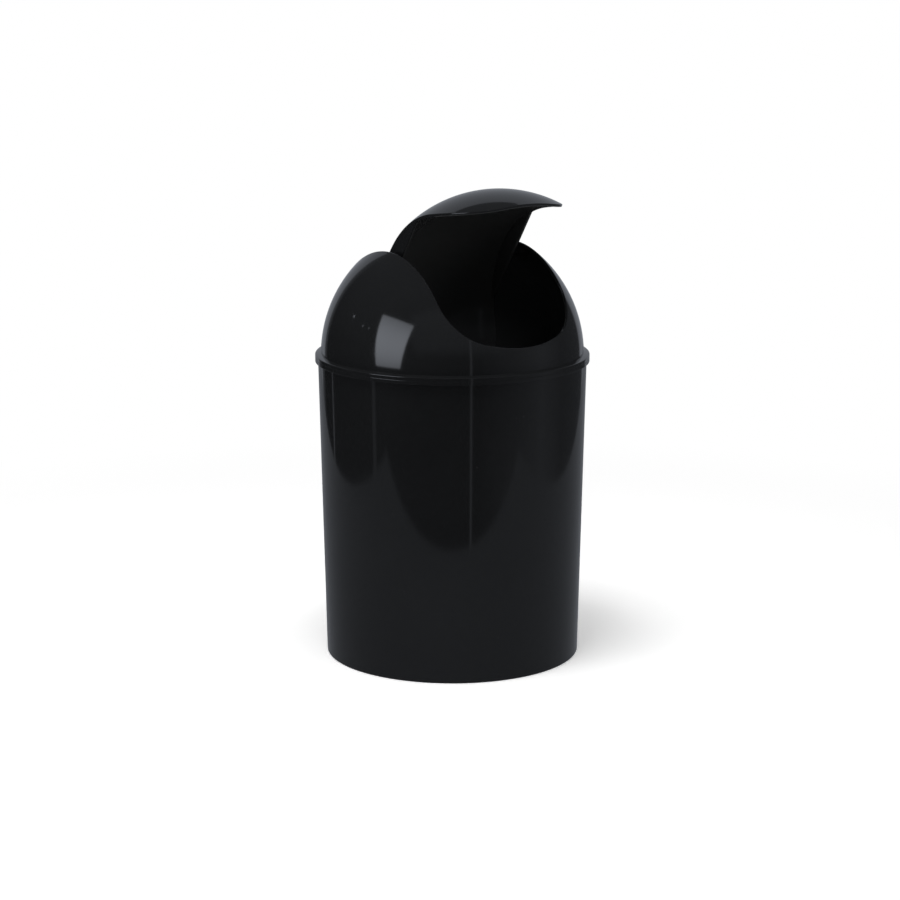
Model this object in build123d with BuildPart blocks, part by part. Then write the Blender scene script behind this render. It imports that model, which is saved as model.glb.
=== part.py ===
from build123d import *
from math import sqrt
import os

# Countertop trash can with a swing lid: a tapered round can, a domed lid with one mouth cut through
# it from front to back, and a flap that swings on two stub pins between the lid's ears.
# Millimetres. +Z up, -Y front, origin at the centre of the can's underside.

# ---- Driving sizes ----

# Lid
dome_radius = 91.0
dome_wall = 2.0
dome_centre_rise = 1.7  # centre of the dome above the top of the can's rim
flange_width = 4.0  # how far the flange and the rim stand out past the dome
flange_edge_height = 2.6
flange_crown = 0.8  # how much higher the flange is where it meets the dome
flange_edge_radius = 0.65
skirt_depth = 10.0
skirt_wall = 1.7
skirt_clearance = 0.3
skirt_lead_in = 0.8

# Mouth, as seen from the front
mouth_half_width = 50.7
mouth_lip_rise = 17.45  # lowest point of the mouth above the dome's centre
mouth_lip_sweep = 115.0  # radius of the lip's shallow curve
mouth_corner_radius = 27.8
mouth_edge_radius = 0.7

# Can
can_height = 209.6  # underside to the top of the rim
can_wall = 1.8
wall_taper = 4.6  # how much narrower the wall is at the base, on the radius
base_thickness = 2.0
base_edge_radius = 1.0
floor_fillet = 3.0
foot_ring_width = 5.0
foot_recess = 1.2  # how far the middle of the base is raised
rim_step = 1.95  # how far the rim's bead stands out past the wall
rim_height = 2.5
rim_edge_radius = 0.25

# Flap
flap_inset = 1.0  # outside of the flap inside the outside of the dome
flap_wall = 2.0
flap_side_gap = 3.0
flap_lip_gap = 1.8
flap_lip_sweep = 190.0
flap_corner_radius = 31.9
flap_edge_radius = 0.8
cheek_wall = 2.0
cheek_below_pivot = 6.0
open_angle = 55.5  # the flap stands this far open

# Pivot
pivot_below_ear = 7.1  # from the top of the ears
pin_radius = 2.5
pin_length = 4.3
pin_chamfer = 0.4
pin_clearance = 0.05
pin_end_clearance = 0.5
boss_wall = 2.2
boss_gap = 0.6  # between the cheek and the face of the boss

# ---- Places worked out from the sizes ----

rim_radius = dome_radius + flange_width
wall_top_radius = rim_radius - rim_step
base_radius = wall_top_radius - wall_taper
dome_centre_z = can_height + dome_centre_rise
dome_inner_radius = dome_radius - dome_wall
ear_rise = sqrt(dome_radius**2 - mouth_half_width**2)
pivot_z = dome_centre_z + ear_rise - pivot_below_ear
flap_radius = dome_radius - flap_inset
flap_inner_radius = flap_radius - flap_wall
cheek_face = mouth_half_width - flap_side_gap
boss_face = cheek_face + boss_gap
bore_radius = pin_radius + pin_clearance


def wall_radius_at(height):
    """Give the outer radius of the can's tapered wall at a height."""
    return base_radius + wall_taper * height / can_height


# ---- Can ----

rim_bottom = can_height - rim_height
foot_radius = base_radius - foot_ring_width
floor_z = foot_recess + base_thickness
base_edge = (base_radius, 0)
rim_edge = (rim_radius, can_height)
bead_edge = (rim_radius, rim_bottom)
floor_corner = (wall_radius_at(floor_z) - can_wall, floor_z)

with BuildPart() as bin_body:
    with BuildSketch(Plane.XZ) as can_section:
        with BuildLine():
            Polyline(
                (0, foot_recess),
                (foot_radius - foot_recess, foot_recess),
                (foot_radius, 0),
                base_edge,
                (wall_radius_at(rim_bottom), rim_bottom),
                bead_edge,
                rim_edge,
                (wall_top_radius - can_wall, can_height),
                floor_corner,
                (0, floor_z),
                close=True,
            )
        make_face()
        for corner, radius in (
            (base_edge, base_edge_radius),
            (rim_edge, rim_edge_radius),
            (bead_edge, rim_edge_radius),
            (floor_corner, floor_fillet),
        ):
            fillet(can_section.vertices().sort_by_distance(corner)[0], radius)
    revolve(axis=Axis.Z)

# ---- Outlines of the mouth and the flap ----


def front_outline(half_width, lip_z, sweep, corner_radius):
    """Draw the U seen from the front: upright sides, round corners and a shallow curved lip."""
    with BuildSketch(Plane.XZ) as outline:
        with Locations((0, lip_z + sweep)):
            Circle(sweep)
        with Locations((0, lip_z)):
            Rectangle(
                2 * half_width,
                sweep,
                align=(Align.CENTER, Align.MIN),
                mode=Mode.INTERSECT,
            )
        fillet(outline.vertices().group_by(Axis.Z)[0], corner_radius)
    return outline.sketch


def runs_along(edge, radius):
    """Tell whether an edge lies on the sphere of this radius about the dome's centre."""
    return abs((edge @ 0.5 - Vector(0, 0, dome_centre_z)).length - radius) < 0.01


lip_z = dome_centre_z + mouth_lip_rise
mouth_outline = front_outline(mouth_half_width, lip_z, mouth_lip_sweep, mouth_corner_radius)
flap_outline = front_outline(cheek_face, lip_z + flap_lip_gap, flap_lip_sweep, flap_corner_radius)

# ---- Pivot bosses inside the lid's ears ----

boss_radius = bore_radius + boss_wall
bore_depth = pin_length + pin_end_clearance - boss_gap

with BuildPart() as ear_bosses:
    with BuildSketch(Plane.YZ.offset(boss_face)):
        with Locations((0, pivot_z)):
            Circle(boss_radius)
    extrude(amount=dome_radius)
    with Locations((0, 0, dome_centre_z)):
        Sphere(dome_radius - dome_wall / 2, mode=Mode.INTERSECT)
    with Locations(Plane(origin=(boss_face, 0, pivot_z), z_dir=(-1, 0, 0))):
        Hole(bore_radius, bore_depth)
    mirror(about=Plane.YZ)

# ---- Lid ----

skirt_z = can_height - skirt_depth
skirt_radius = wall_radius_at(skirt_z) - can_wall - skirt_clearance
skirt_inner_radius = skirt_radius - skirt_wall
skirt_edge = (skirt_radius, skirt_z)
flange_top = can_height + flange_edge_height
flange_edge = (rim_radius, flange_top)
flange_seat_edge = (rim_radius, can_height)
crease_z = flange_top + flange_crown
crease_radius = sqrt(dome_radius**2 - (crease_z - dome_centre_z) ** 2)
dome_top = (0, dome_centre_z + dome_radius)
dome_inner_top = (0, dome_centre_z + dome_inner_radius)

with BuildPart() as dome_lid:
    with BuildSketch(Plane.YZ) as lid_section:
        with BuildLine():
            Line(dome_inner_top, dome_top)
            RadiusArc(dome_top, (crease_radius, crease_z), dome_radius)
            Polyline(
                (crease_radius, crease_z),
                flange_edge,
                flange_seat_edge,
                (skirt_radius, can_height),
                skirt_edge,
                (skirt_inner_radius, skirt_z),
                (skirt_inner_radius, can_height),
                (dome_inner_radius, dome_centre_z),
            )
            RadiusArc((dome_inner_radius, dome_centre_z), dome_inner_top, -dome_inner_radius)
        make_face()
        for corner, radius in (
            (flange_edge, flange_edge_radius),
            (flange_seat_edge, rim_edge_radius),
        ):
            fillet(lid_section.vertices().sort_by_distance(corner)[0], radius)
        chamfer(lid_section.vertices().sort_by_distance(skirt_edge)[0], skirt_lead_in)
    revolve(axis=Axis.Z)
    extrude(mouth_outline, amount=rim_radius, both=True, mode=Mode.SUBTRACT)
    mouth_edges = dome_lid.edges().filter_by_position(Axis.Z, lip_z, dome_centre_z + dome_radius)
    fillet(mouth_edges.filter_by(lambda edge: runs_along(edge, dome_radius)), mouth_edge_radius)
    add(ear_bosses.part)

# ---- Flap, modelled shut ----

cheek_bottom = pivot_z - cheek_below_pivot

# Everything under the shell, apart from the two cheeks
with BuildPart() as flap_hollow:
    with Locations((0, 0, dome_centre_z)):
        Box(2 * (cheek_face - cheek_wall), 2 * flap_radius, 2 * flap_radius)
    with Locations((0, 0, cheek_bottom)):
        Box(
            2 * flap_radius,
            2 * flap_radius,
            2 * flap_radius,
            align=(Align.CENTER, Align.CENTER, Align.MAX),
        )
    with Locations((0, 0, dome_centre_z)):
        Sphere(flap_inner_radius, rotation=(0, 90, 0), mode=Mode.INTERSECT)

with BuildPart() as shut_flap:
    with Locations((0, 0, dome_centre_z)):
        Sphere(flap_radius, rotation=(0, 90, 0))
    extrude(flap_outline, amount=rim_radius, both=True, mode=Mode.INTERSECT)
    add(flap_hollow.part, mode=Mode.SUBTRACT)
    outer_edges = shut_flap.edges().filter_by(lambda edge: runs_along(edge, flap_radius))
    fillet(outer_edges, flap_edge_radius)
    with BuildSketch(Plane.YZ.offset(cheek_face)):
        with Locations((0, pivot_z)):
            Circle(pin_radius)
    extrude(amount=pin_length)
    with BuildSketch(Plane.YZ.offset(-cheek_face)):
        with Locations((0, pivot_z)):
            Circle(pin_radius)
    extrude(amount=-pin_length)
    pin_ends = shut_flap.faces().sort_by(Axis.X)
    chamfer(pin_ends[0].edges() + pin_ends[-1].edges(), pin_chamfer)

# ---- Flap, swung open about its pins ----

pivot_axis = Axis((0, 0, pivot_z), (-1, 0, 0))

with BuildPart() as swing_flap:
    add(shut_flap.part.rotate(pivot_axis, open_angle))

# ---- Files ----

os.makedirs("parts", exist_ok=True)
bin_body.part.label = "bin_body"
export_step(bin_body.part, "parts/bin_body.step")
dome_lid.part.label = "dome_lid"
export_step(dome_lid.part, "parts/dome_lid.step")
swing_flap.part.label = "swing_flap"
export_step(swing_flap.part, "parts/swing_flap.step")
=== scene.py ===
"""A countertop trash can with a domed lid and a swing flap, moulded in glossy black plastic.

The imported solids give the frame. Each sub-assembly builds finer meshes in the same place, dresses
them and lets them ride on the solids' bodies. The pieces' lengths are in millimetres, and those
of the finishes, the studio and the camera's place are in metres.
"""

import logging
import math
from collections.abc import Callable, Iterable, Sequence
from dataclasses import dataclass, field
from enum import Enum
from functools import cached_property

import bmesh
import bpy
from mathutils import Matrix, Vector


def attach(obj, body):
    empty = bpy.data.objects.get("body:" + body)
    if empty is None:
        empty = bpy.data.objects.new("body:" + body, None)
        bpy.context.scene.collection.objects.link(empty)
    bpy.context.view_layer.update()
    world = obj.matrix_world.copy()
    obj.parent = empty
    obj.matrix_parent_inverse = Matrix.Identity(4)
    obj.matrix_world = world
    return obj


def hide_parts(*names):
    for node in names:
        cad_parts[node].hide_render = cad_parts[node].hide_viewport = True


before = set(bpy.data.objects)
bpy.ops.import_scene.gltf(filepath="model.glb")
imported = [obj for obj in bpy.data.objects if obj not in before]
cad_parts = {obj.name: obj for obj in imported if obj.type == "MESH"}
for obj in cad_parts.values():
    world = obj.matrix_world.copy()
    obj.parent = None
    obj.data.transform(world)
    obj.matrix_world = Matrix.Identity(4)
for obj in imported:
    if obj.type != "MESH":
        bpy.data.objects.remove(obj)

LOG = logging.getLogger("swing_lid_can")
MILLIMETRE = 0.001
CAMERA_TURN = math.radians(33.9)  # how far the object is turned away from the camera's axis
CRISP_ANGLE = math.radians(32.0)  # edges that turn by more than this stay crisp
MERGE_DISTANCE = 0.0005  # millimetres
NEAR = 0.01  # millimetres within which two places count as one
PROUD = 0.001  # millimetres that keep two faces out of one plane
NO_ANGLE = 1e-7  # radians below which two directions count as one
DOME_ROW = 100  # the lid's rows from here on are drawn over the dome
HALVINGS = 44  # enough to find a place on a ball to a float's last digits
WHITE = (1.0, 1.0, 1.0, 1.0)

Triple = tuple[float, float, float]


class Body(Enum):
    """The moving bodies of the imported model."""

    CAN = "can"
    LID = "lid"
    FLAP = "flap"


class Slot(Enum):
    """The record's material slots."""

    BODY = "body_plastic"
    LID = "lid_plastic"
    FLAP = "flap_plastic"


# ---------------------------------------------------------------------------------------------
# Shader maths


class Signal:
    """A number that varies from point to point, held as a node's output and used like a number."""

    def __init__(self, nodes: "Nodes", socket: bpy.types.NodeSocket) -> None:
        """Wraps a socket.

        Args:
            nodes: The tree that the socket belongs to.
            socket: The output that carries the number.
        """
        self.nodes = nodes
        self.socket = socket

    def maths(self, operation: str, *others: "Signal | float", clamp: bool = False) -> "Signal":
        """Adds a Math node that starts from this number.

        Args:
            operation: The Math node's operation.
            *others: The node's other inputs, in order.
            clamp: Whether the result is held between 0 and 1.

        Returns:
            The node's result.
        """
        settings = {"operation": operation, "use_clamp": clamp}
        inputs = {0: self, **{place: other for place, other in enumerate(others, 1)}}
        return self.nodes.number("ShaderNodeMath", settings, inputs)

    def reflected(self, operation: str, other: float) -> "Signal":
        """Adds a Math node whose first input is a plain number.

        Args:
            operation: The Math node's operation.
            other: The first input.

        Returns:
            The node's result.
        """
        return self.nodes.number("ShaderNodeMath", {"operation": operation}, {0: other, 1: self})

    def __add__(self, other: "Signal | float") -> "Signal":
        """Gives self + other."""
        return self.maths("ADD", other)

    def __radd__(self, other: float) -> "Signal":
        """Gives other + self."""
        return self.maths("ADD", other)

    def __sub__(self, other: "Signal | float") -> "Signal":
        """Gives self - other."""
        return self.maths("SUBTRACT", other)

    def __rsub__(self, other: float) -> "Signal":
        """Gives other - self."""
        return self.reflected("SUBTRACT", other)

    def __mul__(self, other: "Signal | float") -> "Signal":
        """Gives self * other."""
        return self.maths("MULTIPLY", other)

    def __rmul__(self, other: float) -> "Signal":
        """Gives other * self."""
        return self.maths("MULTIPLY", other)

    def __truediv__(self, other: "Signal | float") -> "Signal":
        """Gives self / other."""
        return self.maths("DIVIDE", other)

    def __rtruediv__(self, other: float) -> "Signal":
        """Gives other / self."""
        return self.reflected("DIVIDE", other)

    def __abs__(self) -> "Signal":
        """Gives the size of the number without its sign."""
        return self.maths("ABSOLUTE")

    def rise(self, start: float, end: float) -> "Signal":
        """Goes smoothly from 0 to 1 as the number goes from start to end.

        Args:
            start: Where the result is 0.
            end: Where the result is 1. It may lie below start.

        Returns:
            The eased number.
        """
        return self.nodes.number(
            "ShaderNodeMapRange",
            {"interpolation_type": "SMOOTHSTEP"},
            {"Value": self, "From Min": start, "From Max": end},
        )

    def within(self, half_width: float, softness: float) -> "Signal":
        """Is 1 where the number is nearer to 0 than half_width, and falls off over softness."""
        return abs(self).rise(half_width + softness / 2, half_width - softness / 2)


Value = Signal | float | Sequence[float] | bpy.types.NodeSocket


class Nodes:
    """Adds nodes to one tree and links them."""

    def __init__(self, tree: bpy.types.NodeTree) -> None:
        """Starts from an empty tree.

        Args:
            tree: The tree to fill. What it holds is removed.
        """
        self.tree = tree
        tree.nodes.clear()

    def add(
        self,
        kind: str,
        settings: dict[str, object] | None = None,
        inputs: dict[str | int, Value] | None = None,
    ) -> bpy.types.Node:
        """Adds one node.

        Args:
            kind: The node's type.
            settings: Its properties, set before its inputs. "stops" gives a ramp's stops as
                (position, level) pairs.
            inputs: Values or links, by the socket's name or number.

        Returns:
            The new node.
        """
        node = self.tree.nodes.new(kind)
        for name, value in (settings or {}).items():
            if name == "stops":
                self.set_stops(node.color_ramp, value)
            else:
                setattr(node, name, value)
        for key, value in (inputs or {}).items():
            socket = node.inputs[key]
            if isinstance(value, Signal):
                self.tree.links.new(value.socket, socket)
            elif isinstance(value, bpy.types.NodeSocket):
                self.tree.links.new(value, socket)
            else:
                socket.default_value = value
        return node

    @staticmethod
    def set_stops(ramp: bpy.types.ColorRamp, stops: Sequence[tuple[float, float]]) -> None:
        """Gives a ramp grey stops.

        Args:
            ramp: The ramp of a Color Ramp node.
            stops: (position, level) pairs in rising order.
        """
        while len(ramp.elements) < len(stops):
            ramp.elements.new(1.0)
        for element, (position, level) in zip(ramp.elements, stops):
            element.position = position
            element.color = (level, level, level, 1.0)

    def number(
        self, kind: str, settings: dict[str, object], inputs: dict[str | int, Value]
    ) -> Signal:
        """Adds a node and gives its first output as a number."""
        return Signal(self, self.add(kind, settings, inputs).outputs[0])

    def combine(self, operation: str, *vectors: Value) -> bpy.types.Node:
        """Adds a Vector Math node that works on the vectors given, in order."""
        settings = {"operation": operation}
        return self.add("ShaderNodeVectorMath", settings, dict(enumerate(vectors)))

    def dot(self, vector: bpy.types.NodeSocket, axis: Sequence[float]) -> Signal:
        """Gives how far a vector reaches along an axis.

        Args:
            vector: The vector's socket.
            axis: The axis.

        Returns:
            The dot product.
        """
        return Signal(self, self.combine("DOT_PRODUCT", vector, axis).outputs["Value"])

    def along_axes(self, vector: bpy.types.NodeSocket) -> tuple[Signal, Signal, Signal]:
        """Gives a vector's x, y and z."""
        parts = self.add("ShaderNodeSeparateXYZ", {}, {0: vector})
        return tuple(Signal(self, output) for output in parts.outputs)

    def noise(self, vector: bpy.types.NodeSocket, scale: float, detail: float = 2.0) -> Signal:
        """Adds a noise texture.

        Args:
            vector: The coordinates, in metres.
            scale: Cells per metre.
            detail: Octaves.

        Returns:
            The noise, around 0.5.
        """
        inputs = {"Vector": vector, "Scale": scale, "Detail": detail}
        return Signal(self, self.add("ShaderNodeTexNoise", {}, inputs).outputs[0])

    def mix_colour(
        self, factor: Signal | float, first: Value, second: Value
    ) -> bpy.types.NodeSocket:
        """Mixes two colours.

        Args:
            factor: 0 gives the first, 1 the second.
            first: A colour or its socket.
            second: A colour or its socket.

        Returns:
            The mixed colour's socket.
        """
        settings = {"data_type": "RGBA"}
        return self.add("ShaderNodeMix", settings, {0: factor, 6: first, 7: second}).outputs[2]

    def mix_shader(
        self, factor: Signal | bpy.types.NodeSocket, first: bpy.types.Node, second: bpy.types.Node
    ) -> bpy.types.Node:
        """Mixes two shaders.

        Args:
            factor: 0 gives the first, 1 the second.
            first: A shader node.
            second: A shader node.

        Returns:
            The Mix Shader node.
        """
        inputs = {0: factor, 1: first.outputs[0], 2: second.outputs[0]}
        return self.add("ShaderNodeMixShader", {}, inputs)

    def glow(self, kind: str, strength: Value, colour: Sequence[float] = WHITE) -> bpy.types.Node:
        """Adds a Background or Emission node.

        Args:
            kind: Which of the two.
            strength: How bright it is.
            colour: Its colour.

        Returns:
            The shader node.
        """
        return self.add(kind, {}, {"Color": colour, "Strength": strength})


# ---------------------------------------------------------------------------------------------
# Finishes


@dataclass(frozen=True)
class Hollow:
    """The room inside a piece, in metres, where the plastic is less polished and is painted a
    lighter colour, as painted light that stands in for light reaching inside.

    The room is a ball, or a tapered cylinder about Z where squash flattens the heights. Half width
    cuts it off at both sides. Gloss says how much its walls mirror; 0.5 is what the outside has.
    """

    centre: Triple
    radius: float
    roughness: float
    # painted light: the lighter colour that stands in for light reaching the inside
    painted_light_tint: Triple
    squash: Triple = (1.0, 1.0, 1.0)
    taper: float = 0.0
    half_width: float = 1.0
    gloss: float = 0.5
    soft_edge: float = 0.0003

    def mask(self, nodes: Nodes, place: bpy.types.NodeSocket) -> Signal:
        """Is 1 inside the room and 0 outside it.

        Args:
            nodes: The material's nodes.
            place: Object coordinates.

        Returns:
            The mask.
        """
        away = nodes.combine("SUBTRACT", place, self.centre).outputs[0]
        flat = nodes.combine("MULTIPLY", away, self.squash).outputs[0]
        distance = Signal(nodes, nodes.combine("LENGTH", flat).outputs["Value"])
        reach = distance - nodes.dot(place, (0.0, 0.0, self.taper))
        across = abs(nodes.dot(place, (1.0, 0.0, 0.0)))
        in_reach = reach.rise(self.radius, self.radius - self.soft_edge)
        return in_reach * across.rise(self.half_width, self.half_width - self.soft_edge)


@dataclass(frozen=True)
class GlossPlastic:
    """Moulded plastic, polished outside and duller inside, with handling haze, hairlines and dust,
    and a lighter colour painted inside as painted light.

    Scales count a pattern's cells per metre. A haze is the roughness that a mark adds. The surface
    is uneven by the ripple depth, in metres, times the heights of peel, sinks and hairlines.
    """

    name: str
    hollow: Hollow
    colour: Triple = (0.0100, 0.0105, 0.0112)
    worn_colour: Triple = (0.0116, 0.0122, 0.0130)
    refraction: float = 1.5
    gloss: float = 0.5
    roughness: float = 0.075
    flow_scale: float = 14.0
    flow_haze: float = 0.05
    # painted light: the least share of the lighter inside colour, and how much more of it the flow
    # noise adds
    painted_light_least: float = 0.9
    painted_light_spread: float = 0.2
    handling_scale: float = 38.0
    handling_haze: float = 0.05
    ripple_depth: float = 0.000004
    peel_scale: float = 420.0
    peel_height: float = 0.3
    sink_scale: float = 26.0
    sink_height: float = 6.0
    dust_scale: float = 190.0
    dust_share: float = 0.035
    dust_reach: float = 0.075
    dust_core: float = 0.03
    dust_cover: float = 0.35
    dust_haze: float = 0.25
    dust_colour: Triple = (0.16, 0.16, 0.165)
    hairline_scale: float = 46.0
    hairline_stretch: float = 26.0
    hairline_turn: Triple = (0.5, 0.3, 0.9)
    hairline_haze: float = 0.05
    hairline_depth: float = 0.25

    def material(self) -> bpy.types.Material:
        """Builds the material.

        Returns:
            A node material that reads Object coordinates.
        """
        made = bpy.data.materials.new(self.name)
        made.use_nodes = True
        nodes = Nodes(made.node_tree)
        place = nodes.add("ShaderNodeTexCoord").outputs["Object"]
        flow = nodes.noise(place, self.flow_scale, detail=3.0)
        handling = nodes.noise(place, self.handling_scale, detail=4.0).rise(start=0.52, end=0.78)
        dust = self.dust(nodes, place)
        hairlines = self.hairlines(nodes, place)
        worn = flow.rise(start=0.3, end=0.7)
        tone = nodes.mix_colour(worn, (*self.colour, 1.0), (*self.worn_colour, 1.0))
        inside = self.hollow.mask(nodes, place)
        # painted light: inside the hollow the colour is mixed towards its lighter tint, which
        # stands in for light reaching the inside
        uneven = self.painted_light_least + flow * self.painted_light_spread
        tone = nodes.mix_colour(inside * uneven, tone, (*self.hollow.painted_light_tint, 1.0))
        dust_and_painted_light_colour = nodes.mix_colour(dust * self.dust_cover, tone, (*self.dust_colour, 1.0))
        polished = (
            self.roughness
            + handling * self.handling_haze
            + hairlines * self.hairline_haze
            + dust * self.dust_haze
        )
        dull = self.hollow.roughness + flow * self.flow_haze
        roughness = polished + (dull - polished) * inside
        peel = nodes.noise(place, self.peel_scale, detail=1.0)
        sink = nodes.noise(place, self.sink_scale, detail=1.0)
        height = peel * self.peel_height + sink * self.sink_height - hairlines * self.hairline_depth
        inputs = {"Strength": 1.0, "Distance": self.ripple_depth, "Height": height}
        bump = nodes.add("ShaderNodeBump", {}, inputs)
        looks = {
            "Base Color": dust_and_painted_light_colour,
            "Roughness": roughness,
            "IOR": self.refraction,
            "Normal": bump.outputs[0],
        }
        outer, inner = (
            nodes.add("ShaderNodeBsdfPrincipled", {}, {**looks, "Specular IOR Level": gloss})
            for gloss in (self.gloss, self.hollow.gloss)
        )
        surface = nodes.mix_shader(inside, outer, inner)
        nodes.add("ShaderNodeOutputMaterial", {}, {"Surface": surface.outputs[0]})
        return made

    def dust(self, nodes: Nodes, place: bpy.types.NodeSocket) -> Signal:
        """Scatters a few specks of dust.

        Args:
            nodes: The material's nodes.
            place: Object coordinates.

        Returns:
            1 on a speck and 0 elsewhere.
        """
        inputs = {"Vector": place, "Scale": self.dust_scale}
        cells = nodes.add("ShaderNodeTexVoronoi", {}, inputs)
        near = Signal(nodes, cells.outputs["Distance"]).rise(self.dust_reach, self.dust_core)
        parts = nodes.add("ShaderNodeSeparateColor", {}, {0: cells.outputs["Color"]})
        chosen = Signal(nodes, parts.outputs[0]).rise(self.dust_share + 0.002, self.dust_share)
        return near * chosen

    def hairlines(self, nodes: Nodes, place: bpy.types.NodeSocket) -> Signal:
        """Draws faint wiping marks, finer one way than the other.

        Args:
            nodes: The material's nodes.
            place: Object coordinates.

        Returns:
            1 on a mark and 0 elsewhere.
        """
        stretch = (1.0, 1.0, self.hairline_stretch)
        inputs = {"Vector": place, "Rotation": self.hairline_turn, "Scale": stretch}
        turned = nodes.add("ShaderNodeMapping", {}, inputs)
        return nodes.noise(turned.outputs[0], self.hairline_scale).rise(start=0.68, end=0.76)


# ---------------------------------------------------------------------------------------------
# Mesh making


@dataclass(frozen=True)
class Corner:
    """One corner of a turned section, in millimetres."""

    radius: float
    height: float
    rounding: float = 0.0
    steps: int = 5


class Shape:
    """A mesh in the making, in millimetres."""

    def __init__(self) -> None:
        """Starts an empty mesh."""
        self.mesh = bmesh.new()
        self.row = self.mesh.verts.layers.int.new("row")

    def wire(self, corners: Sequence[Corner]) -> list[bmesh.types.BMEdge]:
        """Draws a closed section in the XZ plane and rounds its corners.

        Args:
            corners: The corners in order. Row numbers are given from 1.

        Returns:
            The section's edges before the rounding, in order.
        """
        points = [self.mesh.verts.new((c.radius, 0.0, c.height)) for c in corners]
        for number, point in enumerate(points, 1):
            point[self.row] = number
        return [self.mesh.edges.new(pair) for pair in zip(points, points[1:] + points[:1])]

    def round_corners(self, corners: Sequence[Corner]) -> None:
        """Rounds the corners of the section that was drawn from them.

        Args:
            corners: The same corners that drew the section.
        """
        count = len(corners)
        for number, corner in enumerate(corners):
            if corner.rounding:
                here = Vector((corner.radius, corner.height))
                arms = [
                    (Vector((c.radius, c.height)) - here).normalized()
                    for c in (corners[number - 1], corners[(number + 1) % count])
                ]
                half = arms[0].angle(arms[1]) / 2
                point = next(v for v in self.mesh.verts if v[self.row] == number + 1)
                self.bevel([point], "VERTICES", corner.rounding / math.tan(half), corner.steps)

    def bevel(self, geometry: Sequence[object], affect: str, offset: float, steps: int) -> None:
        """Rounds points or edges.

        Args:
            geometry: The points or edges.
            affect: Which of the two they are, as "VERTICES" or "EDGES".
            offset: How far from them the rounding starts.
            steps: Faces of the rounding.
        """
        bmesh.ops.bevel(
            self.mesh,
            geom=geometry,
            offset=offset,
            offset_type="OFFSET",
            affect=affect,
            segments=steps,
            profile=0.5,
            material=-1,
        )

    def hold_shading(self, reach: float = 0.25) -> None:
        """Cuts each long straight run of the section near both ends, to keep it flat when smoothed.

        Args:
            reach: How far from its ends a run is cut, if it is over four times as long.
        """
        for edge in [e for e in self.mesh.edges if e.calc_length() > 4 * reach]:
            start, end = (v.co.copy() for v in edge.verts)
            along = (end - start).normalized() * reach
            cuts = self.cut_run(edge, 2, start)
            cuts[0].co, cuts[1].co = start + along, end - along

    def cut_run(
        self, edge: bmesh.types.BMEdge, count: int, start: Vector
    ) -> list[bmesh.types.BMVert]:
        """Cuts an edge into equal lengths.

        Args:
            edge: The edge.
            count: How many cuts are made.
            start: The end that the cuts are counted from.

        Returns:
            The new points in order.
        """
        cut = bmesh.ops.subdivide_edges(self.mesh, edges=[edge], cuts=count)
        return sorted(points_of(cut["geom_inner"]), key=lambda v: (v.co - start).length)

    def spin(
        self, steps: int, axis: Triple = (0, 0, 1), height: float = 0.0
    ) -> None:
        """Turns all of the section about an axis.

        Args:
            steps: Faces round the axis.
            axis: The axis' direction.
            height: How far above the origin the axis passes.
        """
        bmesh.ops.spin(
            self.mesh,
            geom=self.mesh.verts[:] + self.mesh.edges[:],
            axis=axis,
            cent=(0.0, 0.0, height),
            angle=2 * math.pi,
            steps=steps,
            use_merge=True,
        )
        self.close()

    def spin_across(
        self, section: Sequence[tuple[float, float]], height: float, steps: int
    ) -> None:
        """Draws an open section and turns it about a level axis along X.

        Args:
            section: (place along X, radius) pairs in order.
            height: How far above the origin the axis passes.
            steps: Faces round the axis.
        """
        points = [self.mesh.verts.new((x, 0.0, height + radius)) for x, radius in section]
        for pair in zip(points, points[1:]):
            self.mesh.edges.new(pair)
        self.spin(steps, axis=(1, 0, 0), height=height)

    def close(self) -> None:
        """Merges doubles and turns the faces outwards."""
        bmesh.ops.remove_doubles(self.mesh, verts=self.mesh.verts[:], dist=MERGE_DISTANCE)
        self.face_out()

    def face_out(self) -> None:
        """Turns the faces outwards."""
        bmesh.ops.recalc_face_normals(self.mesh, faces=self.mesh.faces[:])

    def move(self, vector: Sequence[float], points: Sequence[bmesh.types.BMVert] = ()) -> None:
        """Moves the points given, or all of them."""
        bmesh.ops.translate(self.mesh, vec=vector, verts=points or self.mesh.verts[:])

    def join(self, other: "Shape") -> None:
        """Takes in another shape and empties it.

        Args:
            other: The shape to take in.
        """
        scratch = bpy.data.meshes.new("scratch")
        other.mesh.to_mesh(scratch)
        other.mesh.free()
        self.mesh.from_mesh(scratch)
        bpy.data.meshes.remove(scratch)

    def piece(self, name: str, finish: bpy.types.Material) -> bpy.types.Object:
        """Makes the finished object, in metres, at the origin.

        Args:
            name: The piece's name.
            finish: Its material.

        Returns:
            The new object.
        """
        bmesh.ops.scale(self.mesh, vec=(MILLIMETRE,) * 3, verts=self.mesh.verts[:])
        data = bpy.data.meshes.new(name)
        self.mesh.to_mesh(data)
        self.mesh.free()
        data.shade_smooth()
        data.set_sharp_from_angle(angle=CRISP_ANGLE)
        data.materials.append(finish)
        made = bpy.data.objects.new(name, data)
        bpy.context.scene.collection.objects.link(made)
        return made


def points_of(geometry: Sequence[object]) -> list[bmesh.types.BMVert]:
    """Picks the points out of what an operator hands back."""
    return [g for g in geometry if isinstance(g, bmesh.types.BMVert)]


def dress(made: bpy.types.Object, body: Body, slot: Slot, *nodes: str) -> None:
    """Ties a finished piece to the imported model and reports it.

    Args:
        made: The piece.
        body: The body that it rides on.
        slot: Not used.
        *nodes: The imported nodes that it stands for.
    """
    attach(made, body.value)
    if nodes:
        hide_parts(*nodes)
    corners = [Vector(c) for c in made.bound_box]
    size = [max(c[i] for c in corners) - min(c[i] for c in corners) for i in range(3)]
    LOG.info(
        "%s: %d faces, %s mm, on body %s",
        made.name,
        len(made.data.polygons),
        " x ".join(f"{s / MILLIMETRE:.1f}" for s in size),
        body.value,
    )


# ---------------------------------------------------------------------------------------------
# Edges of a ball that is cut by a U


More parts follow.
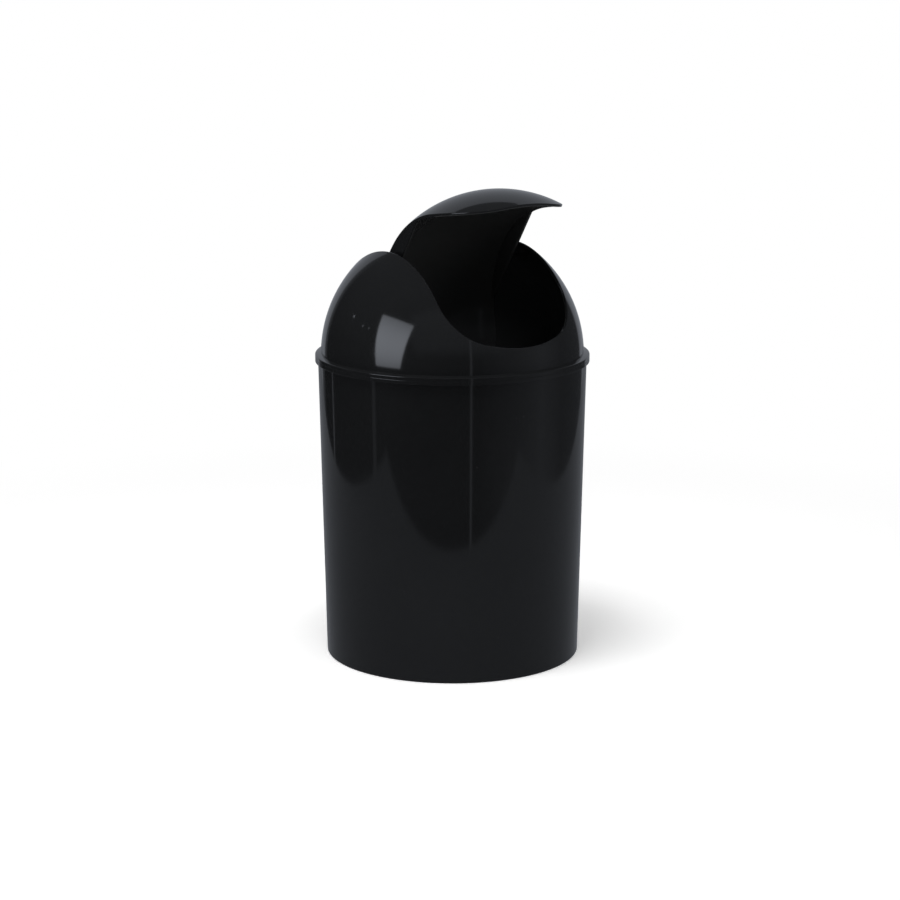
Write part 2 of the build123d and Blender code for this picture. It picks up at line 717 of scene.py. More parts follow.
@dataclass(frozen=True)
class UCut:
    """A U seen from the front, with heights above the middle of the ball that it cuts."""

    half_width: float
    lip_rise: float
    sweep: float
    corner_radius: float

    @cached_property
    def corner_x(self) -> float:
        """Where the middle of a round corner lies, sideways."""
        return self.half_width - self.corner_radius

    @cached_property
    def corner_rise(self) -> float:
        """How high the middle of a round corner lies."""
        reach = self.sweep - self.corner_radius
        return self.lip_rise + self.sweep - math.sqrt(reach**2 - self.corner_x**2)

    def floor(self, across: float) -> float:
        """Gives the height of the U's lower line.

        Args:
            across: How far from the middle, within the half width.

        Returns:
            The height above the ball's middle.
        """
        across = abs(across)
        if across < self.corner_x * self.sweep / (self.sweep - self.corner_radius):
            return self.lip_rise + self.sweep - math.sqrt(self.sweep**2 - across**2)
        drop = max(0.0, self.corner_radius**2 - (across - self.corner_x) ** 2)
        return self.corner_rise - math.sqrt(drop)

    def holds(self, point: Vector) -> bool:
        """Tells whether a point lies inside the U, seen from the front."""
        return abs(point.x) < self.half_width and point.z > self.floor(point.x)

    def edge(self, radius: float, azimuth: float) -> Vector:
        """Finds where the U's outline crosses a ball's meridian.

        Args:
            radius: The ball's radius.
            azimuth: The meridian, in radians from +X.

        Returns:
            The point, from the ball's middle.
        """
        low, high = 0.0, math.pi / 2
        for _ in range(HALVINGS):
            middle = (low + high) / 2
            if self.holds(on_ball(radius, azimuth, middle)):
                high = middle
            else:
                low = middle
        return on_ball(radius, azimuth, low)


def on_ball(radius: float, azimuth: float, elevation: float) -> Vector:
    """Gives a point on a ball about the origin.

    Args:
        radius: The ball's radius.
        azimuth: Radians from +X.
        elevation: Radians above the middle.

    Returns:
        The point.
    """
    level, rise = radius * math.cos(elevation), radius * math.sin(elevation)
    return Vector((level * math.cos(azimuth), level * math.sin(azimuth), rise))


def along_ball(start: Vector, end: Vector, share: float) -> Vector:
    """Goes along a ball from one point towards another.

    Args:
        start: The first point.
        end: The second point, on the same ball.
        share: 0 gives the first point, 1 the second.

    Returns:
        The point between them, on the ball.
    """
    angle = start.angle(end)
    if angle < NO_ANGLE:
        return start.copy()
    parts = math.sin((1 - share) * angle), math.sin(share * angle)
    return (start * parts[0] + end * parts[1]) / math.sin(angle)


def rounded(
    point: Vector, first: Vector, second: Vector, radius: float, steps: int
) -> list[Vector]:
    """Rounds the edge between two faces, seen across the edge.

    Args:
        point: The sharp edge.
        first: The way into the first face, across the edge.
        second: The way into the second face, across the edge.
        radius: The rounding.
        steps: Faces of the rounding.

    Returns:
        The points from the first face to the second.
    """
    half = first.angle(second) / 2
    centre = point + (first + second).normalized() * radius / math.sin(half)
    start = point + first * radius / math.tan(half) - centre
    end = point + second * radius / math.tan(half) - centre
    return [centre + along_ball(start, end, step / steps) for step in range(steps + 1)]


@dataclass(frozen=True)
class CutWall:
    """A spherical wall cut off by a U, with its rounded edge.

    Steps count the faces of the outer rounding; the inner one has two fewer. Support is how far
    beyond a rounding the narrow rows lie that hold the shading.
    """

    cut: UCut
    outer_radius: float
    inner_radius: float
    kept_above: bool
    outer_rounding: float
    inner_rounding: float
    sharp_rounding: float = 0.02
    steps: int = 5
    support: float = 0.16
    azimuth_step: float = 0.0004

    @property
    def middle_radius(self) -> float:
        """The radius of the middle of the wall."""
        return (self.outer_radius + self.inner_radius) / 2

    @property
    def outer_count(self) -> int:
        """How many of the edge's rows belong to the outer skin."""
        return self.steps + 3

    def across(self, radius: float, azimuth: float, other: float) -> tuple[Vector, Vector, Vector]:
        """Finds the edge on one skin of the wall and the two ways into its faces.

        Args:
            radius: The skin's radius.
            azimuth: Radians from +X.
            other: The other skin's radius.

        Returns:
            The edge, the way into the skin and the way into the cut face.
        """
        edge = self.cut.edge(radius, azimuth)
        before = self.cut.edge(radius, azimuth - self.azimuth_step)
        after = self.cut.edge(radius, azimuth + self.azimuth_step)
        run = (after - before).normalized()
        into_skin = edge.normalized().cross(run)
        if (into_skin.z > 0) != self.kept_above:
            into_skin.negate()
        into_cut = self.cut.edge(other, azimuth) - edge
        into_cut -= run * into_cut.dot(run)
        return edge, into_skin.normalized(), into_cut.normalized()

    def edge_rows(self, azimuth: float, sharp_inside: bool = False) -> list[Vector]:
        """Gives the rows of points that carry the wall round its cut edge.

        Args:
            azimuth: Radians from +X.
            sharp_inside: Whether the inner edge stays sharp here.

        Returns:
            The points from the outer skin to the inner skin. Narrow rows hold the shading.
        """
        edge, skin, cut = self.across(self.outer_radius, azimuth, self.inner_radius)
        outer = rounded(edge, skin, cut, self.outer_rounding, self.steps)
        before = (outer[0] + skin * self.support).normalized() * self.outer_radius
        rows = [before, *outer, outer[-1] + cut * self.support]
        edge, skin, cut = self.across(self.inner_radius, azimuth, self.outer_radius)
        rounding = self.sharp_rounding if sharp_inside else self.inner_rounding
        inner = rounded(edge, cut, skin, rounding, self.steps - 2)
        after = (inner[-1] + skin * self.support).normalized() * self.inner_radius
        return [*rows, inner[0] + cut * self.support, *inner, after]


# ---------------------------------------------------------------------------------------------
# Sub-assemblies


@dataclass
class Can:
    """The tapered round can with its rolled-out rim, foot ring and the gate mark underneath."""

    height: float = 209.6
    base_radius: float = 88.45
    wall_top_radius: float = 93.05
    wall: float = 1.8
    base_thickness: float = 2.0
    base_rounding: float = 1.0
    floor_rounding: float = 3.0
    foot_ring_width: float = 5.0
    foot_rounding: float = 0.4
    foot_recess: float = 1.2
    recess_rounding: float = 0.8
    rim_radius: float = 94.995
    rim_height: float = 2.5
    rim_rounding: float = 0.25
    throat_rounding: float = 0.3
    gate_radius: float = 3.2
    gate_depth: float = 0.35
    gate_slope: float = 0.3
    gate_rounding: float = 0.2
    steps: int = 288

    @property
    def taper(self) -> float:
        """How much the wall's radius grows with each millimetre of height."""
        return (self.wall_top_radius - self.base_radius) / self.height

    @property
    def hollow(self) -> Hollow:
        """The can's inside, out to the middle of its wall."""
        return Hollow(
            centre=(0.0, 0.0, 0.0),
            radius=(self.base_radius - self.wall / 2) * MILLIMETRE,
            roughness=0.35,
            # painted light: a lighter colour inside the can stands in for light reaching it
            painted_light_tint=(0.018, 0.019, 0.020),
            squash=(1.0, 1.0, 0.0),
            taper=self.taper,
        )

    def corners(self) -> list[Corner]:
        """Lists the can's section from the middle of the underside round to the floor."""
        rim_bottom = self.height - self.rim_height
        foot = self.base_radius - self.foot_ring_width
        floor = self.foot_recess + self.base_thickness
        inside = self.base_radius + self.taper * floor - self.wall
        gate_rise = self.foot_recess - self.gate_depth
        return [
            Corner(0.0, gate_rise),
            Corner(self.gate_radius, gate_rise, self.gate_rounding, steps=3),
            Corner(self.gate_radius + self.gate_slope, self.foot_recess),
            Corner(foot - self.foot_recess, self.foot_recess, self.recess_rounding),
            Corner(foot, 0.0, self.foot_rounding, steps=3),
            Corner(self.base_radius, 0.0, self.base_rounding, steps=6),
            Corner(self.base_radius + self.taper * rim_bottom, rim_bottom),
            Corner(self.rim_radius, rim_bottom, self.rim_rounding, steps=4),
            Corner(self.rim_radius, self.height, self.rim_rounding, steps=4),
            Corner(self.wall_top_radius - self.wall, self.height, self.throat_rounding, steps=3),
            Corner(inside, floor, self.floor_rounding, steps=6),
            Corner(0.0, floor),
        ]

    def build(self, finish: bpy.types.Material) -> None:
        """Turns the can and ties it to its body.

        Args:
            finish: The plastic.
        """
        shape = Shape()
        corners = self.corners()
        edges = shape.wire(corners)
        bmesh.ops.delete(shape.mesh, geom=[edges[-1]], context="EDGES")
        shape.round_corners(corners)
        shape.hold_shading()
        shape.spin(self.steps)
        dress(shape.piece("moulded_can", finish), Body.CAN, Slot.BODY, "bin_body")


@dataclass
class DomeLid:
    """The domed lid: flange, skirt, two ears with pivot bosses and the mouth between them."""

    centre_height: float = 211.3
    crease_height: float = 213.0
    flange_radius: float = 94.995
    flange_height: float = 212.2
    flange_rounding: float = 0.65
    seat_height: float = 209.6
    seat_rounding: float = 0.25
    skirt_radius: float = 90.73
    skirt_wall: float = 1.7
    skirt_bottom: float = 199.6
    skirt_rounding: float = 0.6
    skirt_inner_rounding: float = 0.3
    pivot_rise: float = 68.468
    boss_face: float = 48.3
    boss_radius: float = 4.75
    boss_chamfer: float = 0.3
    boss_steps: int = 40
    boss_rings: int = 4
    bore_radius: float = 2.55
    bore_depth: float = 4.2
    bore_chamfer: float = 0.25
    outer_rows: int = 52
    inner_rows: int = 30
    steps: int = 480
    wall: CutWall = field(
        default_factory=lambda: CutWall(
            cut=UCut(half_width=50.7, lip_rise=17.45, sweep=115.0, corner_radius=27.8),
            outer_radius=91.0,
            inner_radius=89.0,
            kept_above=False,
            outer_rounding=0.7,
            inner_rounding=0.25,
        )
    )

    @property
    def hollow(self) -> Hollow:
        """The dome's inside, out to the middle of its wall."""
        return Hollow(
            centre=(0.0, 0.0, self.centre_height * MILLIMETRE),
            radius=self.wall.middle_radius * MILLIMETRE,
            roughness=0.09,
            # painted light: a lighter colour inside the dome stands in for light reaching it
            painted_light_tint=(0.018, 0.019, 0.020),
        )

    def corners(self) -> list[Corner]:
        """Lists the section below the dome, from the crease round to the dome's inner foot."""
        crease_rise = self.crease_height - self.centre_height
        crease_radius = math.sqrt(self.wall.outer_radius**2 - crease_rise**2)
        skirt_inside = self.skirt_radius - self.skirt_wall
        return [
            Corner(crease_radius, self.crease_height),
            Corner(self.flange_radius, self.flange_height, self.flange_rounding, steps=6),
            Corner(self.flange_radius, self.seat_height, self.seat_rounding, steps=4),
            Corner(self.skirt_radius, self.seat_height),
            Corner(self.skirt_radius, self.skirt_bottom, self.skirt_rounding, steps=3),
            Corner(skirt_inside, self.skirt_bottom, self.skirt_inner_rounding, steps=2),
            Corner(skirt_inside, self.seat_height),
            Corner(self.wall.inner_radius, self.centre_height),
        ]

    def dome_rows(self, azimuth: float) -> list[Vector]:
        """Gives the dome's points on one meridian, from the crease over the mouth's edge to inside.

        Args:
            azimuth: Radians from +X.

        Returns:
            The points between the crease and the dome's inner foot, from the dome's middle.
        """
        rows = self.wall.edge_rows(azimuth)
        rise = math.asin((self.crease_height - self.centre_height) / self.wall.outer_radius)
        crease = on_ball(self.wall.outer_radius, azimuth, rise)
        foot = on_ball(self.wall.inner_radius, azimuth, 0.0)
        outside = [n / self.outer_rows for n in range(1, self.outer_rows)]
        inside = [n / self.inner_rows for n in range(1, self.inner_rows)]
        return [
            *(along_ball(crease, rows[0], share) for share in outside),
            *rows,
            *(along_ball(rows[-1], foot, share) for share in inside),
        ]

    def shell(self) -> Shape:
        """Turns the section and draws its upper rows over the dome.

        Returns:
            The lid without its bosses.
        """
        shape = Shape()
        corners = self.corners()
        dome_edge = shape.wire(corners)[-1]
        crease = Vector((corners[0].radius, 0.0, corners[0].height))
        cuts = shape.cut_run(dome_edge, len(self.dome_rows(0.0)), crease)
        for number, point in enumerate(cuts, DOME_ROW):
            point[shape.row] = number
        shape.round_corners(corners)
        shape.hold_shading()
        shape.spin(self.steps)
        centre = Vector((0.0, 0.0, self.centre_height))
        columns: dict[int, list[Vector]] = {}
        for point in shape.mesh.verts:
            if point[shape.row] < DOME_ROW:
                continue
            turn = math.atan2(point.co.y, point.co.x) / (2 * math.pi)
            step = round(turn * self.steps) % self.steps
            if step not in columns:
                columns[step] = self.dome_rows(2 * math.pi * step / self.steps)
            point.co = columns[step][point[shape.row] - DOME_ROW] + centre
        shape.face_out()
        return shape

    def boss(self, side: float) -> Shape:
        """Turns one pivot boss and seats it in the wall of its ear.

        Args:
            side: 1 for the right ear, -1 for the left.

        Returns:
            The boss.
        """
        shape = Shape()
        bore_end = self.boss_face + self.bore_depth
        root = self.flange_radius
        rings = range(self.boss_rings, -1, -1)
        section = [
            (bore_end, 0.0),
            (bore_end, self.bore_radius),
            (self.boss_face + self.bore_chamfer, self.bore_radius),
            (self.boss_face, self.bore_radius + self.bore_chamfer),
            (self.boss_face, self.boss_radius - self.boss_chamfer),
            (self.boss_face + self.boss_chamfer, self.boss_radius),
            *((root, self.boss_radius * n / self.boss_rings) for n in rings),
        ]
        shape.spin_across(section, self.pivot_rise, self.boss_steps)
        for point in shape.mesh.verts:
            if abs(point.co.x - root) < NEAR:
                level = point.co.y**2 + point.co.z**2
                point.co.x = math.sqrt(self.wall.middle_radius**2 - level)
            point.co.x *= side
        shape.move((0.0, 0.0, self.centre_height))
        shape.face_out()
        return shape

    def build(self, finish: bpy.types.Material) -> None:
        """Makes the lid and ties it to its body.

        Args:
            finish: The plastic.
        """
        shape = self.shell()
        for side in (-1.0, 1.0):
            shape.join(self.boss(side))
        dress(shape.piece("moulded_dome_lid", finish), Body.LID, Slot.LID, "dome_lid")


@dataclass(eq=False)
class SwingFlap:
    """The flap: a slice of a slightly smaller ball with two flat cheeks and stub pins, swung open.

    Rises are above the ball's middle. The cheek overlap is how far a cheek runs into the wall. The
    hollow stops short of the cheeks' outer faces by its inset.
    """

    centre_height: float = 211.3
    pivot_rise: float = 68.468
    open_angle: float = 55.5
    cheek_wall: float = 2.0
    cheek_rise: float = 62.468
    cheek_overlap: float = 1.7
    cheek_rounding: float = 0.35
    cheek_steps: int = 360
    pin_radius: float = 2.5
    pin_length: float = 4.3
    pin_root: float = 0.5
    pin_chamfer: float = 0.4
    pin_steps: int = 32
    hollow_inset: float = 0.2
    rings: int = 44
    outline_tries: int = 720
    outline_steps: int = 256
    wall: CutWall = field(
        default_factory=lambda: CutWall(
            cut=UCut(half_width=47.7, lip_rise=19.25, sweep=190.0, corner_radius=31.9),
            outer_radius=89.995,
            inner_radius=88.0,
            kept_above=True,
            outer_rounding=0.8,
            inner_rounding=0.25,
        )
    )

    @property
    def swing(self) -> Matrix:
        """The turn from shut to open."""
        return Matrix.Rotation(math.radians(-self.open_angle), 3, "X")

    @property
    def hollow(self) -> Hollow:
        """The open flap's inside, between the middles of its walls."""
        centre = Vector((0.0, 0.0, self.centre_height + self.pivot_rise))
        centre += self.swing @ Vector((0.0, 0.0, -self.pivot_rise))
        return Hollow(
            centre=tuple(centre * MILLIMETRE),
            radius=self.wall.middle_radius * MILLIMETRE,
            roughness=0.1,
            # painted light: about four times lighter than the outside, standing in for light that
            # reaches the open flap's inside
            painted_light_tint=(0.043, 0.044, 0.045),
            half_width=(self.wall.cut.half_width - self.hollow_inset) * MILLIMETRE,
            gloss=0.2,
        )

    @cached_property
    def azimuths(self) -> list[float]:
        """Azimuths that lie evenly along a quarter of the flap's outline, from +X to +Y."""
        count = self.outline_tries
        tries = [math.pi / 2 * n / count for n in range(count + 1)]
        points = [self.wall.cut.edge(self.wall.outer_radius, azimuth) for azimuth in tries]
        runs = [0.0]
        for first, second in zip(points, points[1:]):
            runs.append(runs[-1] + (second - first).length)
        found, place = [], 0
        for n in range(self.outline_steps + 1):
            target = runs[-1] * n / self.outline_steps
            while place < count - 1 and runs[place + 1] < target:
                place += 1
            share = (target - runs[place]) / (runs[place + 1] - runs[place])
            found.append(math.pi / 2 * (place + share) / count)
        return found

    def azimuth(self, turn: float) -> float:
        """Finds the azimuth at a share of the way round the outline.

        Args:
            turn: 0 to 1, from +X.

        Returns:
            The azimuth in radians.
        """
        quarter, share = divmod(turn * 4, 1.0)
        quarter = int(quarter) % 4
        mirrored = quarter % 2 == 1
        place = (1 - share if mirrored else share) * self.outline_steps
        low = min(int(place), self.outline_steps - 1)
        start, end = self.azimuths[low : low + 2]
        within = start + (end - start) * (place - low)
        return (quarter + 1) * math.pi / 2 - within if mirrored else quarter * math.pi / 2 + within

    def skin(self, rows_at: Callable[[float], list[Vector]], radius: float) -> Shape:
        """Draws a square grid over the ball, ring by ring, out to the flap's outline.

        Args:
            rows_at: Gives the edge rows at an azimuth, from the skin outwards.
            radius: The skin's radius.

        Returns:
            The skin, from the ball's middle.
        """
        count = self.rings + len(rows_at(0.0)) - 1
        shape = Shape()
        bmesh.ops.create_grid(shape.mesh, x_segments=2 * count, y_segments=2 * count, size=count)
        top = Vector((0.0, 0.0, radius))
        found: dict[tuple[int, int], list[Vector]] = {}
        for point in shape.mesh.verts:
            across, along = round(point.co.x), round(point.co.y)
            ring = max(abs(across), abs(along))
            if ring == 0:
                point.co = top
                continue
            turn = ring_turn(across, along, ring)
            key = (round(turn * 8 * ring), ring)
            if key not in found:
                found[key] = rows_at(self.azimuth(turn))
            rows = found[key]
            if ring < self.rings:
                point.co = along_ball(top, rows[0], ring / self.rings)
            else:
                point.co = rows[ring - self.rings]
        return shape

    def shell(self) -> Shape:
        """Makes the curved wall of the flap, shut, from the ball's middle.

        Returns:
            The wall as a closed shape.
        """
        shape = self.skin(self.outer_rows, self.wall.outer_radius)
        shape.join(self.skin(self.inner_rows, self.wall.inner_radius))
        open_edges = [e for e in shape.mesh.edges if e.is_boundary]
        bmesh.ops.bridge_loops(shape.mesh, edges=open_edges)
        shape.face_out()
        return shape

    def outer_rows(self, azimuth: float) -> list[Vector]:
        """Gives the outer skin's edge rows, from the skin outwards."""
        return self.edge_rows(azimuth)[: self.wall.outer_count]

    def inner_rows(self, azimuth: float) -> list[Vector]:
        """Gives the inner skin's edge rows, from the skin outwards."""
        return self.edge_rows(azimuth)[self.wall.outer_count :][::-1]

    def edge_rows(self, azimuth: float) -> list[Vector]:
        """Gives all of the edge's rows. The inner edge is sharp where a cheek meets it."""
        by_cheek = self.wall.cut.edge(self.wall.inner_radius, azimuth).z > self.cheek_rise
        return self.wall.edge_rows(azimuth, by_cheek)

    def cheek(self, side: float) -> Shape:
        """Cuts one flat cheek to the inside of the wall, with its pin.

        Args:
            side: 1 for the right cheek, -1 for the left.

        Returns:
            The cheek, from the ball's middle.
        """
        face = self.wall.cut.half_width
        arc = math.sqrt(self.wall.inner_radius**2 - face**2)
        spread = (arc + self.cheek_overlap) / arc
        shape = Shape()
        bmesh.ops.create_circle(shape.mesh, cap_ends=True, segments=self.cheek_steps, radius=arc)
        turn = Matrix.Rotation(math.pi / 2, 3, "Y")
        bmesh.ops.rotate(shape.mesh, verts=shape.mesh.verts[:], cent=(0, 0, 0), matrix=turn)
        bmesh.ops.bisect_plane(
            shape.mesh,
            geom=shape.mesh.verts[:] + shape.mesh.edges[:] + shape.mesh.faces[:],
            plane_co=(0.0, 0.0, self.cheek_rise),
            plane_no=(0.0, 0.0, 1.0),
            clear_inner=True,
        )
        shape.move((face, 0.0, 0.0))
        made = bmesh.ops.extrude_face_region(shape.mesh, geom=shape.mesh.faces[:])
        moved = points_of(made["geom"])
        shape.move((-self.cheek_wall, 0.0, 0.0), moved)
        for point in moved:
            if point.co.z > self.cheek_rise + NEAR:
                point.co.y *= spread
                point.co.z = max(point.co.z * spread, self.cheek_rise)
        shape.face_out()
        lower = [
            e
            for e in shape.mesh.edges
            if all(abs(v.co.z - self.cheek_rise) < NEAR for v in e.verts)
            and abs(e.verts[0].co.x - e.verts[1].co.x) < NEAR
        ]
        shape.bevel(lower, "EDGES", self.cheek_rounding, steps=3)
        shape.join(self.pin())
        if side < 0:
            bmesh.ops.scale(shape.mesh, vec=(-1.0, 1.0, 1.0), verts=shape.mesh.verts[:])
        shape.face_out()
        return shape

    def pin(self) -> Shape:
        """Turns the stub pin of the right cheek, from a root inside the cheek to its tip.

        Returns:
            The pin, from the ball's middle.
        """
        shape = Shape()
        face = self.wall.cut.half_width
        root, tip = face - self.pin_root, face + self.pin_length
        section = [
            (root, 0.0),
            (root, self.pin_radius + self.pin_root),
            (face + PROUD, self.pin_radius + self.pin_chamfer),
            (face + self.pin_chamfer, self.pin_radius),
            (tip - self.pin_chamfer, self.pin_radius),
            (tip, self.pin_radius - self.pin_chamfer),
            (tip, 0.0),
        ]
        shape.spin_across(section, self.pivot_rise, self.pin_steps)
        return shape

    def build(self, finish: bpy.types.Material) -> None:
        """Makes the flap, swings it open and ties it to its body.

        Args:
            finish: The plastic.
        """
        shape = self.shell()
        for side in (-1.0, 1.0):
            shape.join(self.cheek(side))
        pivot = (0.0, 0.0, self.pivot_rise)
        bmesh.ops.rotate(shape.mesh, verts=shape.mesh.verts[:], cent=pivot, matrix=self.swing)
        shape.move((0.0, 0.0, self.centre_height))
        dress(shape.piece("moulded_swing_flap", finish), Body.FLAP, Slot.FLAP, "swing_flap")


def ring_turn(across: int, along: int, ring: int) -> float:
    """Finds how far round a square ring a grid point lies.

    Args:
        across: The point's place along X, in grid steps.
        along: Its place along Y.
        ring: The ring's half width, in grid steps.

    Returns:
        0 to 1, counter-clockwise from +X.
    """
    if across == ring and along != -ring:
        place = along
    elif along == ring:
        place = 2 * ring - across
    elif across == -ring:
        place = 4 * ring - along
    else:
        place = 6 * ring + across
    return (place % (8 * ring)) / (8 * ring)


# ---------------------------------------------------------------------------------------------
# Studio


@dataclass(frozen=True)
class Panel:
    """A flat bright or dark panel that the plastic mirrors, seen from the object.

    Azimuth 0 is towards the camera and 90 to its right. Angles are in degrees. A fade dims the
    panel towards its top and bottom, and a flare makes it wider at the top than at the bottom.
    """

    azimuth: float
    elevation: float
    half_width: float
    half_height: float
    level: float
    softness: float = 0.02
    fade: float = 0.0
    flare: float = 0.0


@dataclass(frozen=True)
class Lamp:
    """A soft rectangular lamp that looks at the object.

    Azimuths are those of Panel. Sizes are in metres.
    """

    name: str
    azimuth: float
    elevation: float
    distance: float
    width: float
    height: float
    level: float
    aim_height: float = 0.2

    def hang(self) -> None:
        """Puts the lamp in the room. What the plastic mirrors of it is drawn by the panels."""
        data = bpy.data.lights.new(self.name, "AREA")
        data.shape = "RECTANGLE"
        data.size = self.width
        data.size_y = self.height
        data.energy = self.level * math.pi * self.width * self.height
        made = bpy.data.objects.new(self.name, data)
        turn, lift = math.radians(self.azimuth) - CAMERA_TURN, math.radians(self.elevation)
        out = math.cos(lift)
        away = Vector((math.sin(turn) * out, -math.cos(turn) * out, math.sin(lift)))
        made.location = Vector((0.0, 0.0, self.aim_height)) + away * self.distance
        made.rotation_euler = away.to_track_quat("Z", "Y").to_euler()
        made.visible_glossy = False
        made.visible_camera = False
        bpy.context.scene.collection.objects.link(made)


@dataclass
class Studio:
    """A white table, a pale backdrop and soft light, with what the plastic mirrors.

    The room stops are (share of a turn, level) pairs. The turn goes from behind the object round
    its left to the camera, at 0.5, and back round its right. High up the room has the above level.
    """

    table_left: float = -0.560
    table_right: float = 0.566
    table_front: float = -0.392
    table_back: float = 1.3
    table_level: float = 0.20
    table_softness: float = 0.006
    floor_reach: float = 14.0
    floor_lift: float = 0.35
    floor_bounce: float = 0.45
    room_light: float = 0.20
    above_level: float = 0.055
    cool_white: Triple = (0.945, 1.0, 1.11)
    room_stops: tuple[tuple[float, float], ...] = (
        (0.0, 0.235),
        (0.08, 0.20),
        (0.11, 0.02),
        (0.16, 0.03),
        (0.24, 0.05),
        (0.33, 0.06),
        (0.42, 0.045),
        (0.56, 0.042),
        (0.66, 0.12),
        (0.73, 0.19),
        (0.8, 0.08),
        (0.87, 0.062),
        (0.905, 0.06),
        (0.91, 0.23),
        (1.0, 0.235),
    )
    panels: tuple[Panel, ...] = (
        Panel(180.0, 0.0, 31.5, 45.0, 0.34),
        Panel(8.0, 31.0, 42.0, 20.0, 0.13, 0.25),
        Panel(-57.3, 13.6, 14.6, 18.6, 3.0, 0.03, fade=0.42, flare=0.16),
        Panel(16.0, 0.0, 0.75, 24.0, 0.36, 0.012),
        Panel(-71.0, -15.0, 1.6, 3.2, 0.19, 0.012),
        Panel(-125.0, -12.8, 0.7, 1.1, 0.34, 0.008),
        Panel(-108.0, 17.0, 0.45, 0.45, 4.0, 0.006),
        Panel(-92.0, 17.0, 0.4, 0.4, 3.0, 0.006),
        Panel(-84.0, 18.0, 0.35, 0.35, 2.6, 0.006),
    )
    lamps: tuple[Lamp, ...] = (
        Lamp("side_softbox", -57.3, 13.0, 2.0, 1.094, 1.40, 1.1),
        Lamp("key_softbox", -25.0, 73.0, 1.3, 0.45, 0.45, 14.0),
        Lamp("fill_softbox", 75.0, 8.0, 2.0, 1.8, 0.8, 1.3),
        Lamp("overhead_softbox", 0.0, 86.0, 1.6, 1.2, 1.2, 1.3),
    )

    def turned(self, nodes: Nodes, vector: bpy.types.NodeSocket) -> bpy.types.NodeSocket:
        """Turns a vector from the object's frame to the camera's.

        Args:
            nodes: The tree.
            vector: The vector's socket.

        Returns:
            The turned vector's socket.
        """
        inputs = {"Vector": vector, "Rotation": (0.0, 0.0, CAMERA_TURN)}
        return nodes.add("ShaderNodeMapping", {"vector_type": "POINT"}, inputs).outputs[0]

    def panel_mask(self, nodes: Nodes, direction: bpy.types.NodeSocket, panel: Panel) -> Signal:
        """Draws a panel on the sky.

        Args:
            nodes: The world's nodes.
            direction: The direction looked in, in the camera's frame.
            panel: The panel.

        Returns:
            1 in the middle of the panel and 0 off it.
        """
        azimuth, elevation = math.radians(panel.azimuth), math.radians(panel.elevation)
        right = Vector((math.cos(azimuth), math.sin(azimuth), 0.0))
        level = Vector((math.sin(azimuth), -math.cos(azimuth), 0.0))
        ahead = level * math.cos(elevation) + Vector((0, 0, 1)) * math.sin(elevation)
        up = Vector((0, 0, 1)) * math.cos(elevation) - level * math.sin(elevation)
        depth = nodes.dot(direction, ahead)
        across = nodes.dot(direction, right) / depth
        rise = nodes.dot(direction, up) / depth
        half_width = math.tan(math.radians(panel.half_width))
        half_height = math.tan(math.radians(panel.half_height))
        in_front = depth.rise(start=0.0, end=0.05)
        widened = across / (1.0 + rise * (panel.flare / half_height))
        dimmed = 1.0 - rise * rise * (panel.fade / half_height**2)
        return (
            widened.within(half_width, panel.softness)
            * rise.within(half_height, panel.softness)
            * in_front
            * dimmed
        )

    def world(self) -> None:
        """Lights the room and draws what the plastic mirrors of it."""
        world = bpy.data.worlds.new("studio")
        bpy.context.scene.world = world
        world.use_nodes = True
        nodes = Nodes(world.node_tree)
        seen = nodes.add("ShaderNodeTexCoord").outputs["Generated"]
        direction = self.turned(nodes, seen)
        x, y, z = nodes.along_axes(direction)
        turn = x.maths("ARCTAN2", y * -1.0) / (2 * math.pi) + 0.5
        room = nodes.number("ShaderNodeValToRGB", {"stops": self.room_stops}, {"Fac": turn})
        above = z.rise(start=0.1, end=0.75)
        level = room + (self.above_level - room) * above
        for panel in self.panels:
            mask = self.panel_mask(nodes, direction, panel)
            level = level + (panel.level - level) * mask
        mirrored = nodes.glow("ShaderNodeBackground", level, (*self.cool_white, 1.0))
        plain = nodes.glow("ShaderNodeBackground", self.room_light)
        white = nodes.glow("ShaderNodeBackground", 1.0)
        path = nodes.add("ShaderNodeLightPath")
        mixed = nodes.mix_shader(path.outputs["Is Glossy Ray"], plain, mirrored)
        mixed = nodes.mix_shader(path.outputs["Is Camera Ray"], mixed, white)
        nodes.add("ShaderNodeOutputWorld", {}, {"Surface": mixed.outputs[0]})

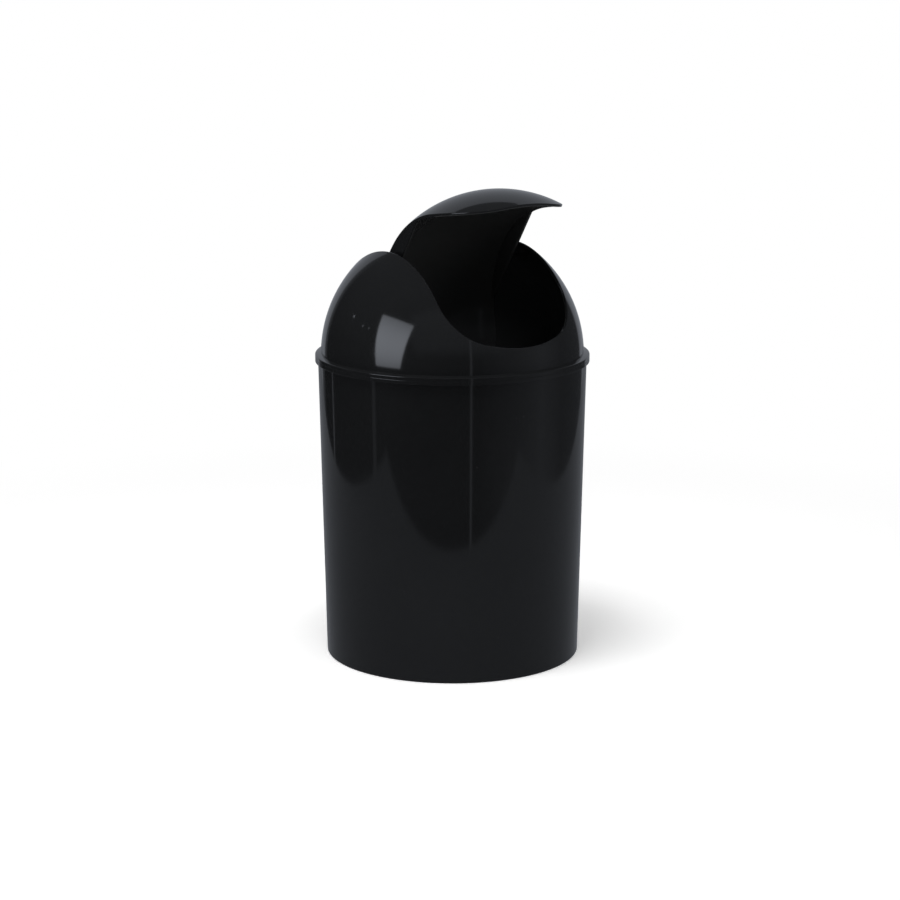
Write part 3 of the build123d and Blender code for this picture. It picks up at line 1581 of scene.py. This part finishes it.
    def floor(self) -> None:
        """Lays the pale floor. The plastic mirrors only the table's top in it."""
        shape = Shape()
        size = self.floor_reach / MILLIMETRE
        bmesh.ops.create_grid(shape.mesh, x_segments=2, y_segments=2, size=size)
        finish = bpy.data.materials.new("pale_floor")
        finish.use_nodes = True
        nodes = Nodes(finish.node_tree)
        place = nodes.add("ShaderNodeTexCoord").outputs["Object"]
        x, y, _ = nodes.along_axes(self.turned(nodes, place))
        sides = (x, self.table_left, self.table_right), (y, self.table_front, self.table_back)
        across, along = (
            (reach - (low + high) / 2).within((high - low) / 2, self.table_softness)
            for reach, low, high in sides
        )
        table = across * along
        path = nodes.add("ShaderNodeLightPath")
        matt = nodes.add("ShaderNodeBsdfDiffuse", {}, {"Color": WHITE})
        lift = nodes.glow("ShaderNodeEmission", self.floor_lift)
        lifted = nodes.add("ShaderNodeAddShader", {}, {0: matt.outputs[0], 1: lift.outputs[0]})
        white = nodes.glow("ShaderNodeEmission", 1.0)
        far = (x * x + y * y).rise(start=0.08, end=0.5)
        seen = nodes.mix_shader(far, lifted, white)
        clear = nodes.add("ShaderNodeBsdfTransparent")
        top = nodes.glow("ShaderNodeEmission", self.table_level, (*self.cool_white, 1.0))
        mirrored = nodes.mix_shader(table, clear, top)
        bounce = nodes.add("ShaderNodeBsdfDiffuse", {}, {"Color": (*(self.floor_bounce,) * 3, 1.0)})
        surface = nodes.mix_shader(path.outputs["Is Glossy Ray"], bounce, mirrored)
        surface = nodes.mix_shader(path.outputs["Is Camera Ray"], surface, seen)
        nodes.add("ShaderNodeOutputMaterial", {}, {"Surface": surface.outputs[0]})
        shape.piece("floor", finish)

    def build(self) -> None:
        """Sets up the room, the floor and the lamps."""
        self.world()
        self.floor()
        for lamp in self.lamps:
            lamp.hang()
        bpy.context.scene.view_settings.view_transform = "Standard"


@dataclass
class ViewCamera:
    """The camera, seen along the studio's own axis.

    Its place is in metres, its pitch in degrees below level, its lens and sensor in millimetres.
    """

    side: float = -0.00164
    distance: float = 1.8
    height: float = 0.545
    pitch: float = 12.6
    lens: float = 105.6
    sensor: float = 36.0

    def build(self) -> None:
        """Makes the scene's camera."""
        data = bpy.data.cameras.new("view_camera")
        data.lens = self.lens
        data.sensor_width = self.sensor
        made = bpy.data.objects.new("view_camera", data)
        place = Vector((self.side, -self.distance, self.height))
        place.rotate(Matrix.Rotation(-CAMERA_TURN, 3, "Z"))
        made.location = place
        made.rotation_euler = (math.radians(90.0 - self.pitch), 0.0, -CAMERA_TURN)
        bpy.context.scene.collection.objects.link(made)
        bpy.context.scene.camera = made


def main() -> None:
    """Builds every piece, the studio and the camera."""
    logging.basicConfig(level=logging.INFO, format="%(name)s: %(message)s")
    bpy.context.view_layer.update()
    for slot, part in ((Slot.BODY, Can()), (Slot.LID, DomeLid()), (Slot.FLAP, SwingFlap())):
        part.build(GlossPlastic(f"gloss_black_{slot.value}", part.hollow).material())
    Studio().build()
    ViewCamera().build()


if __name__ == "__main__":
    main()
